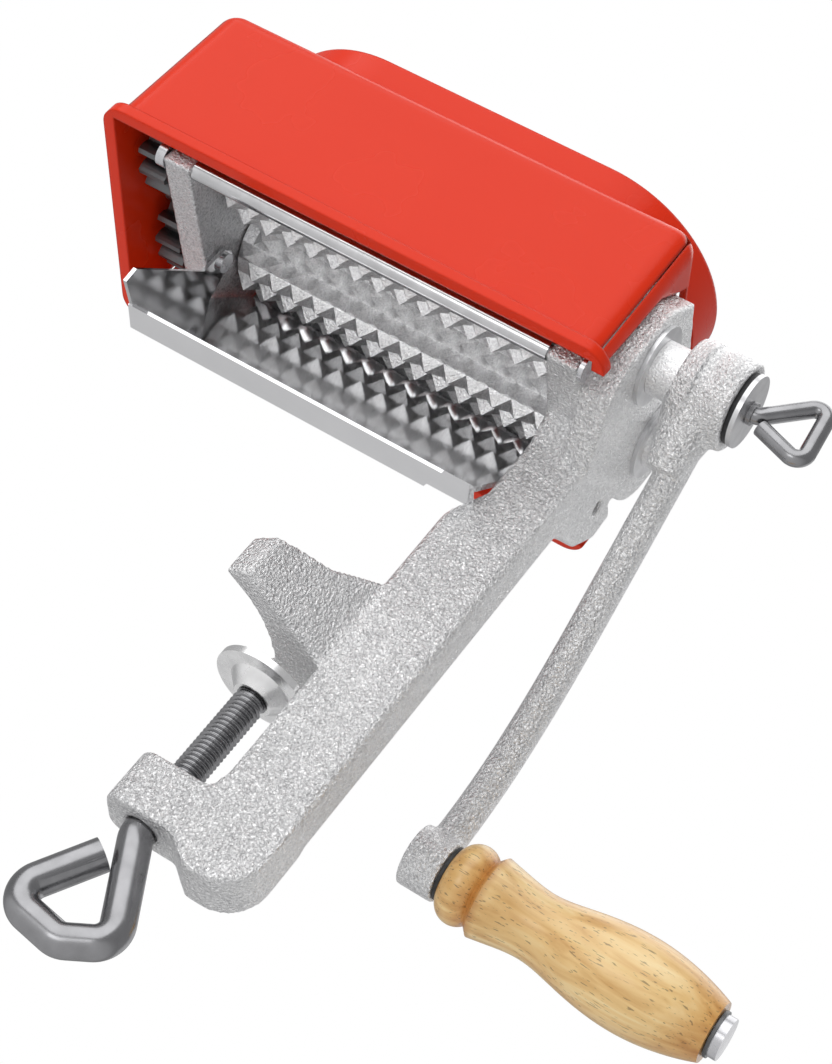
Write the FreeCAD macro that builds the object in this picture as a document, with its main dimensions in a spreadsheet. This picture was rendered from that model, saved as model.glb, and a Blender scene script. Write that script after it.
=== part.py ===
import FreeCAD, Part
import Sketcher
import math
import os

# Table-clamped crumbling mill: two toothed rollers geared together under a lift-off hopper.
# Frame: +Z up along the clamp arm, +X along the rollers towards the crank, +Y from the flat
# front wall to the rear wall. The origin is on the table seat, on the clamp screw's axis.

doc = FreeCAD.newDocument("crumbling_mill")
sizes = doc.addObject("Spreadsheet::Sheet", "Sizes")

SHEET = [
    # rollers and gears
    ("roller_spacing", 32.0), ("roller_tilt", 6.8), ("drive_y", -20.6), ("drive_z", 108.6),
    ("roller_tip_radius", 15.4), ("tooth_depth", 3.2), ("roller_rows", 16), ("teeth_per_row", 15),
    ("drive_row_angle", 7.0), ("idle_row_angle", 17.5), ("shaft_radius", 7.0),
    ("square_side", 9.8), ("idle_shaft_end", 38.0), ("gear_teeth", 16), ("gear_width", 8.0),
    ("gear_seat_radius", 5.0), ("tooth_backlash", 0.35),
    # clearances
    ("running_clearance", 0.05), ("side_clearance", 0.4), ("spin_clearance", 0.3),
    # side plates
    ("near_plate_inner", 14.6), ("plate_gap", 102.0), ("near_plate_thick", 8.9),
    ("raised_height", 8.0), ("lug_height", 5.2), ("far_plate_thick", 8.0), ("far_boss", 6.0),
    ("plate_front", -37.4), ("plate_rear", 29.0), ("plate_low_front", 83.8),
    ("plate_low_rear", 91.0), ("plate_top", 133.3), ("pad_arc_radius", 17.6),
    ("bush_radius", 9.0), ("bush_flange_radius", 10.5), ("bush_flange_thick", 1.1),
    # arm and clamp
    ("arm_left", 8.9), ("arm_right", 30.3), ("arm_front", -8.4), ("arm_rear_top", 6.5),
    ("arm_rear_low", 6.5), ("arm_edge_radius", 2.5), ("shoulder_z", 51.0), ("shoulder_rise", 11.0),
    ("throat", 39.0), ("jaw_thick", 14.0), ("jaw_reach", 9.5), ("arm_foot", 58.0),
    ("foot_radius", 11.0), ("jaw_nose_radius", 5.0),
    ("fork_reach", 15.4), ("fork_half", 24.5), ("fork_tip_width", 6.4), ("fork_crotch", 3.0),
    ("fork_tip_height", 10.0), ("fork_root_height", 27.6), ("fork_root_half", 7.0),
    ("clamp_screw_radius", 4.0), ("pressure_radius", 12.2), ("pressure_face", -7.0),
    ("pressure_thick", 1.8), ("pressure_cone", 3.2), ("cone_radius", 8.2), ("cone_tip_radius", 5.0),
    ("pin_radius", 2.8), ("eye_top", -54.5), ("eye_right", 12.4), ("eye_right_z", -78.0),
    ("eye_low_z", -84.0), ("eye_left", -14.5), ("eye_left_z", -81.5), ("eye_end", -2.9),
    ("eye_end_z", -62.2), ("eye_bend", 5.0),
    # tie rods, tray and small holes
    ("rod_radius", 2.5), ("front_rod_y", -35.0), ("front_rod_z", 87.0), ("rear_rod_y", 26.0),
    ("rear_rod_z", 127.0), ("rod_screw_radius", 1.5), ("rod_screw_length", 16.0),
    ("rod_head_radius", 3.2), ("rod_head_height", 2.4),
    ("tray_front_y", -14.9), ("tray_front_z", 57.2), ("tray_slope", 49.0), ("tray_length", 61.0),
    ("tray_back_y", 27.4), ("tray_back_z", 120.0),
    ("sheet_thick", 1.0), ("lip_depth", 8.5), ("flange_height", 9.5), ("ear_y", 2.0), ("ear_z", 92.8),
    ("ear_radius", 3.6), ("rivet_radius", 1.5), ("rivet_head_radius", 2.7), ("rivet_length", 7.0),
    ("lug_hole_y", 16.0), ("lug_hole_z", 89.5), ("lug_hole_radius", 2.0), ("lug_hole_depth", 10.0),
    # cover
    ("cover_wall", 1.8), ("cover_left", -114.2), ("cover_right", 27.6), ("cover_front", -40.9),
    ("cover_rear", 32.4), ("cover_low", 86.5), ("cover_top", 135.6), ("cover_draft", 1.2),
    ("cover_corner", 6.5), ("cover_edge", 5.0), ("rim_out", 1.6), ("rim_height", 3.2),
    ("collar_left", -103.0), ("collar_right", 29.6), ("collar_front", -36.0), ("collar_rear", 31.0),
    ("collar_height", 9.0), ("notch_margin", 0.8),
    # crank and handle
    ("hub_start", 40.0), ("hub_length", 15.0), ("hub_radius", 11.0), ("crank_radius", 128.5),
    ("crank_angle", 27.3), ("crank_bow", 10.8), ("strap_half_width", 4.7), ("strap_half_thick", 4.1),
    ("knob_boss_radius", 7.8), ("knob_boss_length", 9.4), ("handle_washer_thick", 1.0),
    ("handle_washer_radius", 6.9), ("grip_length", 70.0), ("grip_max_radius", 11.8),
    ("grip_neck_radius", 8.5), ("bead_radius", 10.2), ("bolt_radius", 3.0),
    ("bolt_head_radius", 5.3), ("bolt_head_height", 2.2), ("end_washer_radius", 5.9),
    ("hub_washer_radius", 9.2), ("hub_washer_thick", 2.0), ("hub_recess", 1.0),
    ("disc_radius", 9.4), ("disc_thick", 1.2), ("thumb_radius", 2.5), ("thumb_length", 18.0),
    ("thumb_wire", 2.15), ("loop_reach", 16.8), ("loop_rise", 12.9), ("loop_drop", 7.3),
    ("loop_bend", 3.6),
]
for row, (alias, value) in enumerate(SHEET, start=1):
    sizes.set("A%d" % row, alias)
    sizes.set("B%d" % row, str(value))
    sizes.setAlias("B%d" % row, alias)

# Places worked out from the driving sizes, kept in the same sheet.
DERIVED = [
    ("idle_y", "drive_y + roller_spacing * cos(roller_tilt * 1 deg)"),
    ("idle_z", "drive_z + roller_spacing * sin(roller_tilt * 1 deg)"),
    ("far_plate_inner", "near_plate_inner - plate_gap"),
    ("far_plate_outer", "far_plate_inner - far_plate_thick"),
    ("far_boss_end", "far_plate_outer - far_boss"),
    ("near_plate_outer", "near_plate_inner + near_plate_thick"),
    ("raised_face", "near_plate_outer + raised_height"),
    ("bush_face", "raised_face + bush_flange_thick"),
    ("gear_start", "far_boss_end - side_clearance"),
    ("gear_end", "gear_start - gear_width"),
    ("seat_end", "gear_end - 1.4"),
    ("jaw_top", "-throat"), ("jaw_low", "-throat - jaw_thick"),
    ("hub_end", "hub_start + hub_length"),
    ("strap_start", "hub_start + hub_length / 2 + 0.4"),
    ("handle_y", "drive_y + crank_radius * sin(crank_angle * 1 deg)"),
    ("handle_z", "drive_z - crank_radius * cos(crank_angle * 1 deg)"),
    ("boss_start", "hub_start + 0.2"), ("boss_end", "boss_start + knob_boss_length"),
    ("grip_start", "boss_end + handle_washer_thick + spin_clearance"),
    ("grip_end", "grip_start + grip_length"),
    ("disc_start", "hub_end - hub_recess + hub_washer_thick"),
    ("disc_end", "disc_start + disc_thick"),
    ("screw_top", "pressure_face - pressure_thick - pressure_cone"),
    ("tray_left", "far_plate_inner + 2 * side_clearance"),
    ("tray_right", "near_plate_inner - 2 * side_clearance"),
    ("tray_run", "cos(tray_slope * 1 deg)"), ("tray_climb", "sin(tray_slope * 1 deg)"),
    ("collar_radius", "(collar_rear - collar_front) / 2"),
    ("collar_mid", "(collar_rear + collar_front) / 2"),
    ("fork_arc", "((fork_reach - fork_crotch)^2 + fork_half^2) / (2 * (fork_reach - fork_crotch))"),
]
for row, (alias, formula) in enumerate(DERIVED, start=len(SHEET) + 1):
    sizes.set("A%d" % row, alias)
    sizes.set("B%d" % row, "=" + formula)
    sizes.setAlias("B%d" % row, alias)
doc.recompute()


def size(name):
    """The sheet's value of one named size, in millimetres or degrees."""
    value = getattr(sizes, name)
    return float(getattr(value, "Value", value))


def bind(obj, **formulas):
    """Bind properties to sheet formulas: words that name a size are looked up in the sheet."""
    for prop, formula in formulas.items():
        obj.setExpression(prop.replace("__", "."), in_sheet(formula))
    return obj


ALIASES = sorted([name for name, _ in SHEET + DERIVED], key=len, reverse=True)


def in_sheet(formula):
    """Write Sizes. before each alias in a formula."""
    out, text = "", str(formula)
    word = ""
    for letter in text + " ":
        if letter.isalnum() or letter == "_":
            word += letter
            continue
        out += "Sizes." + word if word in ALIASES else word
        out += letter
        word = ""
    return out.strip()


def box(name, x, y, z, length, width, height):
    """A Part::Box with its corner and sides bound to the sheet."""
    obj = doc.addObject("Part::Box", name)
    return bind(obj, Length=length, Width=width, Height=height, Placement__Base__x=x,
                Placement__Base__y=y, Placement__Base__z=z)


AXES = {"x": FreeCAD.Rotation(FreeCAD.Vector(0, 1, 0), 90), "z": FreeCAD.Rotation()}


def rod(name, x, y, z, radius, height, axis="x"):
    """A Part::Cylinder along +X or +Z from the point given."""
    obj = doc.addObject("Part::Cylinder", name)
    obj.Placement = FreeCAD.Placement(FreeCAD.Vector(), AXES[axis])
    return bind(obj, Radius=radius, Height=height, Placement__Base__x=x,
                Placement__Base__y=y, Placement__Base__z=z)


def cone(name, x, y, z, radius1, radius2, height, axis="x"):
    """A Part::Cone along +X or +Z from the point given."""
    obj = doc.addObject("Part::Cone", name)
    obj.Placement = FreeCAD.Placement(FreeCAD.Vector(), AXES[axis])
    return bind(obj, Radius1=radius1, Radius2=radius2, Height=height, Placement__Base__x=x,
                Placement__Base__y=y, Placement__Base__z=z)


def fuse(name, *pieces):
    """Join pieces into one solid, with the seams between coplanar faces removed."""
    obj = doc.addObject("Part::MultiFuse", name)
    obj.Shapes = list(pieces)
    obj.Refine = True
    return obj


def cut(name, base, *tools):
    """Take one or more tools away from a base."""
    tool = tools[0] if len(tools) == 1 else fuse(name + "_tools", *tools)
    obj = doc.addObject("Part::Cut", name)
    obj.Base = base
    obj.Tool = tool
    obj.Refine = True
    return obj


PLANES = {
    "YZ": FreeCAD.Rotation(FreeCAD.Vector(0, 1, 0), FreeCAD.Vector(0, 0, 1), FreeCAD.Vector(1, 0, 0), "ZXY"),
    "XZ": FreeCAD.Rotation(FreeCAD.Vector(1, 0, 0), FreeCAD.Vector(0, 0, 1), FreeCAD.Vector(0, -1, 0), "ZXY"),
    "XY": FreeCAD.Rotation(),
}


def outline(name, plane, corners):
    """A closed sketch of straight sides whose corners are bound to the sheet."""
    sketch = doc.addObject("Sketcher::SketchObject", name)
    sketch.Placement = FreeCAD.Placement(FreeCAD.Vector(), PLANES[plane])
    count = len(corners)
    points = [FreeCAD.Vector(*[worked_out(f) for f in pair], 0) for pair in corners]
    for i in range(count):
        sketch.addGeometry(Part.LineSegment(points[i], points[(i + 1) % count]), False)
    for i in range(count):
        sketch.addConstraint(Sketcher.Constraint("Coincident", i, 2, (i + 1) % count, 1))
    for i, (across, up) in enumerate(corners):
        for kind, formula, value in (("DistanceX", across, points[i].x), ("DistanceY", up, points[i].y)):
            n = sketch.addConstraint(Sketcher.Constraint(kind, -1, 1, i, 1, value))
            sketch.setExpression("Constraints[%d]" % n, in_sheet(formula))
    return sketch


def worked_out(formula):
    """The value of a sheet formula now, to place a sketch's corners before they are bound."""
    sizes.set("D1", "=" + str(formula))
    sizes.recompute()
    value = sizes.get("D1")
    return float(getattr(value, "Value", value))


def extrude(name, plane, corners, start, depth):
    """A prism on an outline. YZ grows along +X, XY along +Z, XZ along +Y, each from start."""
    sketch = outline(name + "_outline", plane, corners)
    obj = doc.addObject("Part::Extrusion", name)
    obj.Base = sketch
    obj.DirMode = "Custom"
    obj.Dir = {"YZ": FreeCAD.Vector(1, 0, 0), "XY": FreeCAD.Vector(0, 0, 1),
               "XZ": FreeCAD.Vector(0, 1, 0)}[plane]
    obj.Solid = True
    bind(obj, LengthFwd=depth)
    axis = {"YZ": "x", "XY": "z", "XZ": "y"}[plane]
    bind(obj, **{"Placement__Base__" + axis: start})
    return obj


def rounded(name, base, radius, chosen):
    """Fillet the edges of a plain base solid for which chosen(edge) is true."""
    doc.recompute()
    obj = doc.addObject("Part::Fillet", name)
    obj.Base = base
    numbers = [i for i, edge in enumerate(base.Shape.Edges, start=1) if chosen(edge)]
    obj.Edges = [(i, size(radius), size(radius)) for i in numbers]
    return obj


def upright(edge):
    """True for an edge that runs mostly up, as the arm's long corners do."""
    ends = [vertex.Point for vertex in edge.Vertexes]
    if len(ends) != 2 or ends[0].distanceToPoint(ends[1]) < 0.01:
        return False
    return abs((ends[1] - ends[0]).normalize().z) > 0.9


def own_shape(name, shape):
    """A Part::Feature for a shape that primitives and sketches don't fit."""
    obj = doc.addObject("Part::Feature", name)
    obj.Shape = shape
    return obj




NODES = []


def node(obj, label):
    """Name a finished piece: its label is its node and its file."""
    obj.Label = label
    NODES.append(obj)
    return obj


# ---- rollers ---------------------------------------------------------------------------
def ridges(radius_in, radius_out, first, pitch, count):
    """A turned ridge profile, revolved about X: one ridge per pitch, cone to cone."""
    vector = FreeCAD.Vector
    points = [vector(first, 0, 0), vector(first, radius_in, 0)]
    for k in range(count):
        points.append(vector(first + (k + 0.5) * pitch, radius_out, 0))
        points.append(vector(first + (k + 1) * pitch, radius_in, 0))
    points.append(vector(first + count * pitch, 0, 0))
    face = Part.Face(Part.makePolygon(points + points[:1]))
    return face.revolve(vector(0, 0, 0), vector(1, 0, 0), 360)


def star_rows(radius_in, radius_out, rows, odd, start, length):
    """Every second point of a star with one point per row, as prisms along X."""
    step = 2 * math.pi / rows
    wedges = []
    for k in range(odd, rows, 2):
        corners = [FreeCAD.Vector(start, 0, 0)]
        for angle, radius in ((k - 0.5, radius_in), (k, radius_out), (k + 0.5, radius_in)):
            corners.append(FreeCAD.Vector(start, radius * math.cos(angle * step), radius * math.sin(angle * step)))
        wedges.append(Part.Face(Part.makePolygon(corners + corners[:1])).extrude(FreeCAD.Vector(length, 0, 0)))
    return wedges[0].multiFuse(wedges[1:])


def roller_body():
    """Pyramid teeth in rows along the roller, each row half a pitch from the next."""
    tip, root = size("roller_tip_radius"), size("roller_tip_radius") - size("tooth_depth")
    length = size("plate_gap") - 2 * size("side_clearance")
    count, rows = int(size("teeth_per_row")), int(size("roller_rows"))
    pitch = length / count
    start = size("far_plate_inner") + size("side_clearance")
    body = Part.makeCylinder(root, length, FreeCAD.Vector(start, 0, 0), FreeCAD.Vector(1, 0, 0))
    for odd, first, number in ((0, start, count), (1, start + pitch / 2, count - 1)):
        teeth = ridges(root, tip, first, pitch, number)
        body = body.fuse(teeth.common(star_rows(root, tip, rows, odd, first, number * pitch)))
    return body


def add_roller(name, y, z, shaft_end, turned):
    """One roller: toothed body, shaft and gear seat in one piece."""
    body = own_shape(name + "_teeth", roller_body())
    body.Placement = FreeCAD.Placement(FreeCAD.Vector(), FreeCAD.Rotation(FreeCAD.Vector(1, 0, 0), size(turned)))
    bind(body, Placement__Base__y=y, Placement__Base__z=z)
    shaft = rod(name + "_shaft", "gear_start", y, z, "shaft_radius", "%s - gear_start" % shaft_end)
    seat = rod(name + "_seat", "seat_end", y, z, "gear_seat_radius", "gear_start - seat_end + 1")
    return fuse(name + "_solid", body, shaft, seat)


drive_round = add_roller("drive", "drive_y", "drive_z", "hub_start + 1", "drive_row_angle")
square = box("drive_square", "hub_start + 0.9", "drive_y - square_side / 2", "drive_z - square_side / 2",
             "hub_length - 2.4", "square_side", "square_side")
tapped = rod("drive_tapping", "hub_end - thumb_length + 1", "drive_y", "drive_z",
             "thumb_radius + running_clearance", "thumb_length + 5")
node(cut("drive_bored", fuse("drive_squared", drive_round, square), tapped), "drive_roller")
node(add_roller("idle", "idle_y", "idle_z", "idle_shaft_end", "idle_row_angle"), "idle_roller")


# ---- gears -----------------------------------------------------------------------------
def gear_outline(teeth, module, backlash):
    """Corner points of an involute spur gear in the YZ plane."""
    pitch_radius = teeth * module / 2
    base_radius = pitch_radius * math.cos(math.radians(20))
    root, tip = pitch_radius - 1.25 * module, pitch_radius + 0.8 * module
    half_tooth = (math.pi * module / 2 - backlash) / 2 / pitch_radius
    mesh = math.tan(math.radians(20)) - math.radians(20)
    flank = []
    for radius in (base_radius, pitch_radius - module * 0.3, pitch_radius, pitch_radius + module * 0.4, tip):
        roll = math.acos(base_radius / radius)
        flank.append((radius, half_tooth + mesh - (math.tan(roll) - roll)))
    side = [(root, flank[0][1])] + flank
    points = []
    for k in range(teeth):
        middle = 2 * math.pi * k / teeth
        for radius, angle in [(r, -a) for r, a in side] + [(r, a) for r, a in reversed(side)]:
            points.append((radius, middle + angle))
    return [FreeCAD.Vector(0, r * math.cos(a), r * math.sin(a)) for r, a in points]


def add_gear(name, y, z, turned):
    """A sintered spur gear bored to fit the roller's end."""
    teeth = int(size("gear_teeth"))
    points = gear_outline(teeth, size("roller_spacing") / teeth, size("tooth_backlash"))
    face = Part.Face(Part.makePolygon(points + points[:1]))
    blank = own_shape(name + "_teeth", face.extrude(FreeCAD.Vector(size("gear_width"), 0, 0)))
    blank.Placement = FreeCAD.Placement(FreeCAD.Vector(), FreeCAD.Rotation(FreeCAD.Vector(1, 0, 0), turned))
    bind(blank, Placement__Base__x="gear_end", Placement__Base__y=y, Placement__Base__z=z)
    bore = rod(name + "_bore", "gear_end - 1", y, z, "gear_seat_radius + running_clearance", "gear_width + 2")
    return cut(name + "_bored", blank, bore)


# The line of centres meets a tooth of the drive gear and a gap of the idle gear.
tilt = size("roller_tilt")
node(add_gear("drive_gear_blank", "drive_y", "drive_z", tilt), "drive_gear")
node(add_gear("idle_gear_blank", "idle_y", "idle_z", tilt + 180.0 / size("gear_teeth")), "idle_gear")
for which in ("drive", "idle"):
    y, z = which + "_y", which + "_z"
    ring = rod(which + "_clip_disc", "gear_end - 1.2", y, z, "gear_seat_radius + 2.6", "1")
    hole = rod(which + "_clip_hole", "gear_end - 2", y, z, "gear_seat_radius + running_clearance", "4")
    node(cut(which + "_clip", ring, hole), which + "_gear_clip")

# ---- bushes ----------------------------------------------------------------------------
for which in ("drive", "idle"):
    y, z = which + "_y", which + "_z"
    for side, start, end in (("near", "near_plate_inner", "bush_face"), ("far", "far_boss_end", "far_plate_inner")):
        sleeve = rod("%s_%s_sleeve" % (which, side), start, y, z, "bush_radius", "%s - (%s)" % (end, start))
        if side == "near":
            flange = rod(which + "_flange", "raised_face", y, z, "bush_flange_radius", "bush_flange_thick")
            sleeve = fuse(which + "_flanged", sleeve, flange)
        hole = rod("%s_%s_hole" % (which, side), start + " - 1", y, z, "shaft_radius + running_clearance",
                   "%s - (%s) + 2" % (end, start))
        node(cut("%s_%s_bush_cut" % (which, side), sleeve, hole), "%s_%s_bush" % (which, side))

# ---- near plate, arm, fork and jaw: one casting -------------------------------------------
near_plate = extrude("near_plate", "YZ", [
    ("plate_front", "plate_low_front"), ("plate_front", "plate_top"), ("plate_rear", "plate_top"),
    ("plate_rear", "plate_low_rear - 3"), ("plate_rear - 7", "shoulder_z + 27"), ("arm_rear_top", "shoulder_z + 17"),
    ("arm_front", "shoulder_z + 9"), ("arm_front", "plate_low_front - 4"),
    ("arm_front - 5", "plate_low_front + 3")], "near_plate_inner", "near_plate_thick")
pad_block = extrude("pad_block", "YZ", [
    ("arm_front", "plate_low_front - 5"), ("drive_y - 7", "plate_low_front + 3"), ("drive_y - 12.4", "drive_z - 12"),
    ("drive_y - 12.4", "drive_z + 7"), ("drive_y - 5", "drive_z + 18"), ("idle_y", "idle_z + pad_arc_radius"),
    ("idle_y", "idle_z - pad_arc_radius")], "near_plate_outer", "raised_height")
pad_arc = rod("pad_arc", "near_plate_outer", "idle_y", "idle_z", "pad_arc_radius", "raised_height")
lug = extrude("lug_block", "YZ", [
    ("arm_front", "shoulder_z + 9"), ("arm_front", "plate_low_front + 6"), ("plate_rear - 2", "plate_low_rear + 6"),
    ("plate_rear - 1.5", "plate_low_rear - 3"), ("plate_rear - 8", "shoulder_z + 28"),
    ("arm_rear_top - 1", "shoulder_z + 18")],
    "near_plate_outer", "arm_right - near_plate_outer")
arm_blank = extrude("arm_blank", "YZ", [
    ("arm_front", "-arm_foot + foot_radius"), ("arm_front", "shoulder_z"), ("arm_front", "shoulder_z + 19"),
    ("arm_rear_top", "shoulder_z + 20"), ("arm_rear_low", "-arm_foot + foot_radius")],
    "arm_left", "arm_right - arm_left")
arm = rounded("arm_rounded", arm_blank, "arm_edge_radius", upright)
shoulder_cut = extrude("shoulder_cut", "XZ", [
    ("arm_left - 1", "shoulder_z"), ("arm_left", "shoulder_z"), ("near_plate_inner", "shoulder_z + shoulder_rise"),
    ("near_plate_inner", "plate_top"), ("arm_left - 1", "plate_top")], "-45", "90")
foot_blank = extrude("foot_blank", "XZ", [
    ("-jaw_reach", "jaw_top"), ("arm_left", "jaw_top"), ("arm_left", "jaw_top + 4"), ("arm_right", "jaw_top + 4"),
    ("arm_right", "-arm_foot"), ("arm_left + 6.5", "-arm_foot"), ("arm_left", "jaw_low"), ("-jaw_reach", "jaw_low")],
    "arm_front", "arm_rear_low - arm_front")
foot_heel = rounded("foot_heel", foot_blank, "foot_radius", lambda edge: (
    abs(edge.BoundBox.ZMax + size("arm_foot")) < 0.01 and edge.BoundBox.XMin > size("arm_right") - 0.01))
foot = rounded("foot_nose", foot_heel, "jaw_nose_radius", lambda edge: (
    upright(edge) and edge.BoundBox.XMax < -size("jaw_reach") + 0.01))
fork_plan = extrude("fork_plan", "XY", [
    ("arm_left + 2", "-fork_root_half"), ("-fork_reach + fork_tip_width", "-fork_half - 3.4"),
    ("-fork_reach", "-fork_half"), ("-fork_reach - 2", "0"), ("-fork_reach", "fork_half"),
    ("-fork_reach + fork_tip_width", "fork_half + 3.4"), ("arm_left + 2", "fork_root_half")],
    "0", "fork_root_height")
fork_arc_cut = rod("fork_arc_cut", "-fork_crotch - fork_arc", "0", "-1", "fork_arc", "60", axis="z")
fork_side = extrude("fork_side", "XZ", [
    ("arm_left + 2", "0"), ("-fork_reach - 3", "0"), ("-fork_reach - 3", "fork_tip_height"),
    ("-fork_reach * 0.6", "fork_tip_height + 2.4"), ("0", "fork_tip_height + 7.5"),
    ("arm_left * 0.7", "fork_root_height - 4"), ("arm_left + 2", "fork_root_height")], "-45", "90")
fork = doc.addObject("Part::Common", "fork")
fork.Base, fork.Tool = cut("fork_crescent", fork_plan, fork_arc_cut), fork_side
casting = fuse("casting", near_plate, pad_block, pad_arc, lug, arm, foot, fork)
holes = [rod("near_%s_bore" % w, "near_plate_inner - 1", w + "_y", w + "_z", "bush_radius", "40")
         for w in ("drive", "idle")]
holes.append(rod("jaw_thread", "0", "0", "jaw_low - 8", "clamp_screw_radius + running_clearance",
                 "jaw_thick + 16", axis="z"))
holes.append(rod("lug_hole", "arm_right - lug_hole_depth", "lug_hole_y", "lug_hole_z", "lug_hole_radius",
                 "lug_hole_depth + 4"))
holes += [rod("near_%s_rod_hole" % r, "near_plate_inner - 1", r + "_rod_y", r + "_rod_z",
              "rod_screw_radius + running_clearance", "near_plate_thick + 2") for r in ("front", "rear")]
holes.append(rod("near_rivet_hole", "near_plate_inner - 1", "ear_y", "ear_z",
                 "rivet_radius + running_clearance", "rivet_length + 1"))
# The disc slides up and down in a shallow scoop in the inner side of the arm.
holes.append(rod("disc_scoop", "0", "0", "jaw_top", "pressure_radius + spin_clearance", "throat", axis="z"))
node(cut("clamp_frame_solid", casting, shoulder_cut, *holes), "clamp_frame")

# ---- far plate -------------------------------------------------------------------------
far_blank = extrude("far_plate_blank", "YZ", [
    ("plate_front", "plate_low_front"), ("plate_front", "plate_top"), ("plate_rear", "plate_top"),
    ("plate_rear", "plate_low_rear")], "far_plate_outer", "far_plate_thick")
far_bosses = [rod("far_%s_boss" % w, "far_boss_end", w + "_y", w + "_z", "bush_radius + 2.5", "far_boss + 0.5")
              for w in ("drive", "idle")]
far_holes = [rod("far_%s_bore" % w, "far_boss_end - 1", w + "_y", w + "_z", "bush_radius", "40")
             for w in ("drive", "idle")]
far_holes += [rod("far_%s_rod_hole" % r, "far_plate_outer - 1", r + "_rod_y", r + "_rod_z",
                  "rod_screw_radius + running_clearance", "40") for r in ("front", "rear")]
far_holes.append(rod("far_rivet_hole", "far_plate_inner - rivet_length", "ear_y", "ear_z",
                     "rivet_radius + running_clearance", "rivet_length + 1"))
node(cut("far_plate_solid", fuse("far_plate_fused", far_blank, *far_bosses), *far_holes), "far_plate")

# ---- tie rods and their screws ----------------------------------------------------------
screws = []
for r in ("front", "rear"):
    y, z = r + "_rod_y", r + "_rod_z"
    depth = "(rod_screw_length - far_plate_thick)"
    bar = rod(r + "_bar", "far_plate_inner", y, z, "rod_radius", "plate_gap")
    taps = [rod(r + "_far_tap", "far_plate_inner - 1", y, z, "rod_screw_radius + running_clearance", depth + " + 1.5"),
            rod(r + "_near_tap", "near_plate_inner - %s - 0.5" % depth, y, z,
                "rod_screw_radius + running_clearance", depth + " + 1.5")]
    node(cut(r + "_tie_rod_solid", bar, *taps), r + "_tie_rod")
    screws.append(fuse(r + "_far_screw",
                       rod(r + "_far_shank", "far_plate_outer", y, z, "rod_screw_radius", "rod_screw_length"),
                       rod(r + "_far_head", "far_plate_outer - rod_head_height", y, z, "rod_head_radius",
                           "rod_head_height")))
    screws.append(fuse(r + "_near_screw",
                       rod(r + "_near_shank", "near_plate_inner - %s" % depth, y, z, "rod_screw_radius",
                           "near_plate_thick + %s" % depth),
                       rod(r + "_near_head", "near_plate_outer", y, z, "rod_head_radius", "rod_head_height / 2")))


def together(name, label, pieces):
    """Identical fasteners that share one node."""
    group = doc.addObject("Part::Compound", name)
    group.Links = pieces
    return node(group, label)


together("tie_rod_screw_set", "tie_rod_screws", screws)

# ---- crumb tray --------------------------------------------------------------------------
end_y, end_z = "(tray_front_y + tray_length * tray_run)", "(tray_front_z + tray_length * tray_climb)"
floor = extrude("tray_floor", "YZ", [
    ("tray_front_y", "tray_front_z"), (end_y, end_z),
    ("tray_back_y", end_z + " + tray_back_y - " + end_y), ("tray_back_y", "tray_back_z"),
    ("tray_back_y + sheet_thick", "tray_back_z"), ("tray_back_y + sheet_thick", end_z + " + tray_back_y - 0.4 - " + end_y),
    (end_y + " + sheet_thick * tray_climb", end_z + " - sheet_thick * tray_run"),
    ("tray_front_y + sheet_thick * (1 + tray_run) / tray_climb", "tray_front_z - sheet_thick + sheet_thick"),
    ("tray_front_y + lip_depth", "tray_front_z"), ("tray_front_y + lip_depth", "tray_front_z - sheet_thick"),
    ("tray_front_y", "tray_front_z - sheet_thick")], "tray_left", "tray_right - tray_left")
lip_corner = extrude("lip_corner", "XY", [
    ("arm_left - 3", "tray_front_y - 1"), ("arm_left - 9", "tray_front_y + lip_depth + 1"),
    ("tray_right + 1", "tray_front_y + lip_depth + 1"), ("tray_right + 1", "tray_front_y - 1")],
    "tray_front_z - sheet_thick - 1", "sheet_thick + 0.99")
wall = [("tray_front_y", "tray_front_z - sheet_thick / 2")]
wall += [("tray_front_y - flange_height", "tray_front_z - 1.8"), ("tray_front_y - flange_height - 0.7", "tray_front_z + 2.4"),
         ("ear_y - ear_radius", "ear_z - 8"), ("ear_y - ear_radius", "ear_z + 1"), ("ear_y - 1", "ear_z + ear_radius"),
         ("ear_y + 2", "ear_z + ear_radius"), ("ear_y + ear_radius + 1", "ear_z - 1"),
         ("ear_y + ear_radius + 5", "tray_front_z + (ear_y + ear_radius + 5 - tray_front_y) * tan(tray_slope * 1 deg) - 0.5")]
far_wall = extrude("tray_far_wall", "YZ", wall, "tray_left", "sheet_thick")
near_edge = [("tray_front_y + 17", "tray_front_z + 17 * tan(tray_slope * 1 deg) - 0.6"),
             ("tray_front_y + 13", "tray_front_z + 17 * tan(tray_slope * 1 deg) + 2")] + wall[3:]
near_wall = extrude("tray_near_wall", "YZ", near_edge, "tray_right - sheet_thick", "sheet_thick")
tray_holes = [rod("tray_%s_hole" % w, x, "ear_y", "ear_z", "rivet_radius + running_clearance", "3")
              for w, x in (("far", "tray_left - 1"), ("near", "tray_right - 2"))]
node(cut("tray_solid", fuse("tray_fused", floor, far_wall, near_wall), lip_corner, *tray_holes), "crumb_tray")
rivets = []
for w, head, shank in (("far", "tray_left + sheet_thick", "tray_left + sheet_thick - rivet_length"),
                       ("near", "tray_right - sheet_thick - 1", "tray_right - sheet_thick")):
    rivets.append(fuse(w + "_rivet", rod(w + "_rivet_head", head, "ear_y", "ear_z", "rivet_head_radius", "1"),
                       rod(w + "_rivet_shank", shank, "ear_y", "ear_z", "rivet_radius", "rivet_length")))
together("tray_rivet_set", "tray_rivets", rivets)


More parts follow.
